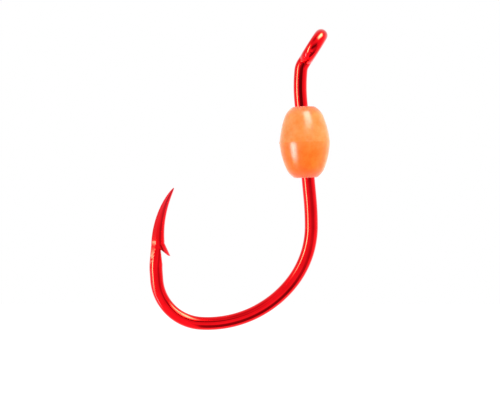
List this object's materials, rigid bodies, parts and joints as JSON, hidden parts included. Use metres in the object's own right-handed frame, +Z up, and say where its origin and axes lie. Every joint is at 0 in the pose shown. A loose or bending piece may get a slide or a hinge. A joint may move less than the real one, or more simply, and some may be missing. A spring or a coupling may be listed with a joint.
{
  "type": "beaded bait hook",
  "caption": "Barbed up-eye bait hook of red lacquered round wire, with a loose oval orange bead that slides on its shank.",
  "frame": {"origin": "centre of the hole in the eye, where the line is tied", "axes": "+Z up along the length of the hook with the eye at the top, -X towards the point, Y across the wire; the hook lies in the XZ plane"},
  "size_m": [0.0147, 0.0042, 0.0246],
  "materials": {
    "red_lacquered_wire": "clear red lacquer over bright drawn steel wire, high gloss",
    "orange_bead": "translucent moulded plastic, gloss"
  },
  "bodies": {
    "hook_body": {"hook": "red_lacquered_wire"},
    "bead_body": {"bead": "orange_bead"}
  },
  "joints": [
    {"name": "bead_slide", "type": "slide", "parent": "hook_body", "child": "bead_body", "axis": [-0.0941, 0, 0.9956], "range_m": [-0.0053, 0.0031]}
  ]
}
